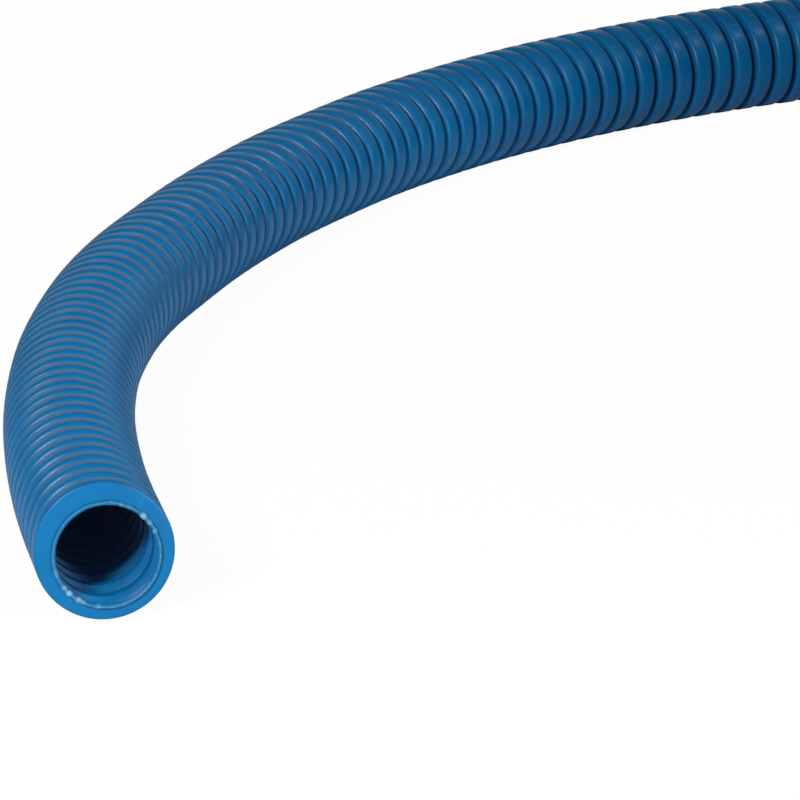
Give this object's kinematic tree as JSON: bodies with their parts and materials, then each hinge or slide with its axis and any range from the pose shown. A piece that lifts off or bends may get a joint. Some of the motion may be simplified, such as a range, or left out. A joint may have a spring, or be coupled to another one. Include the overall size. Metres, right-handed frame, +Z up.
{
  "type": "pool vacuum hose",
  "caption": "Corrugated pool vacuum hose with a bare square-cut end, laid in a loose bend, the rest coiled and tied, and a swivelling cuff on its far end.",
  "frame": {"origin": "middle of the laid-out hose's footprint, on the floor", "axes": "+Z up; the cuff faces -Y and the cut end nearly so; the coil lies on the +X side of the loose bend"},
  "size_m": [1.0688, 0.9792, 0.1106],
  "materials": {
    "hose_polymer": "blow-moulded, satin, mid blue",
    "cuff_polymer": "injection-moulded, fine satin, dark blue-grey",
    "washer_polymer": "smooth acetal, off-white",
    "seal_rubber": "matt black rubber",
    "spring_steel": "bright spring steel",
    "tie_webbing": "woven black webbing",
    "buckle_polymer": "moulded black plastic"
  },
  "bodies": {
    "stored_length": {"hose_lead_run": "hose_polymer", "hose_sweep_bend": "hose_polymer", "hose_coil": "hose_polymer", "hose_tail_run": "hose_polymer", "cuff_insert": "cuff_polymer", "cuff_thrust_washer": "washer_polymer", "cuff_seal": "seal_rubber", "cuff_retaining_ring": "spring_steel", "coil_tie_1": "tie_webbing", "coil_tie_2": "tie_webbing", "coil_tie_3": "tie_webbing", "tie_buckle_1": "buckle_polymer", "tie_buckle_2": "buckle_polymer", "tie_buckle_3": "buckle_polymer"},
    "middle_stretch": {"hose_middle_run": "hose_polymer", "hose_lift_bend": "hose_polymer"},
    "free_end": {"hose_mouth": "hose_polymer", "hose_end_run": "hose_polymer"},
    "end_cuff": {"swivel_cuff": "cuff_polymer"}
  },
  "joints": [
    {"name": "hose_sweep", "type": "hinge", "parent": "stored_length", "child": "middle_stretch", "pos_m": [-0.40366, 0.1354, 0.026], "axis": [0, 0, 1], "range_deg": [-25, 25], "stiffness_Nm_per_rad": 0.3, "deforming": ["hose_sweep_bend"]},
    {"name": "hose_lift", "type": "hinge", "parent": "middle_stretch", "child": "free_end", "pos_m": [-0.50791, -0.2782, 0.026], "axis": [-0.9994, 0.0332, 0], "range_deg": [0, 25], "stiffness_Nm_per_rad": 0.3, "deforming": ["hose_lift_bend"]},
    {"name": "cuff_swivel", "type": "hinge", "parent": "stored_length", "child": "end_cuff", "pos_m": [0.5054, -0.2419, 0.0293], "axis": [0, -1, 0], "continuous": true}
  ]
}
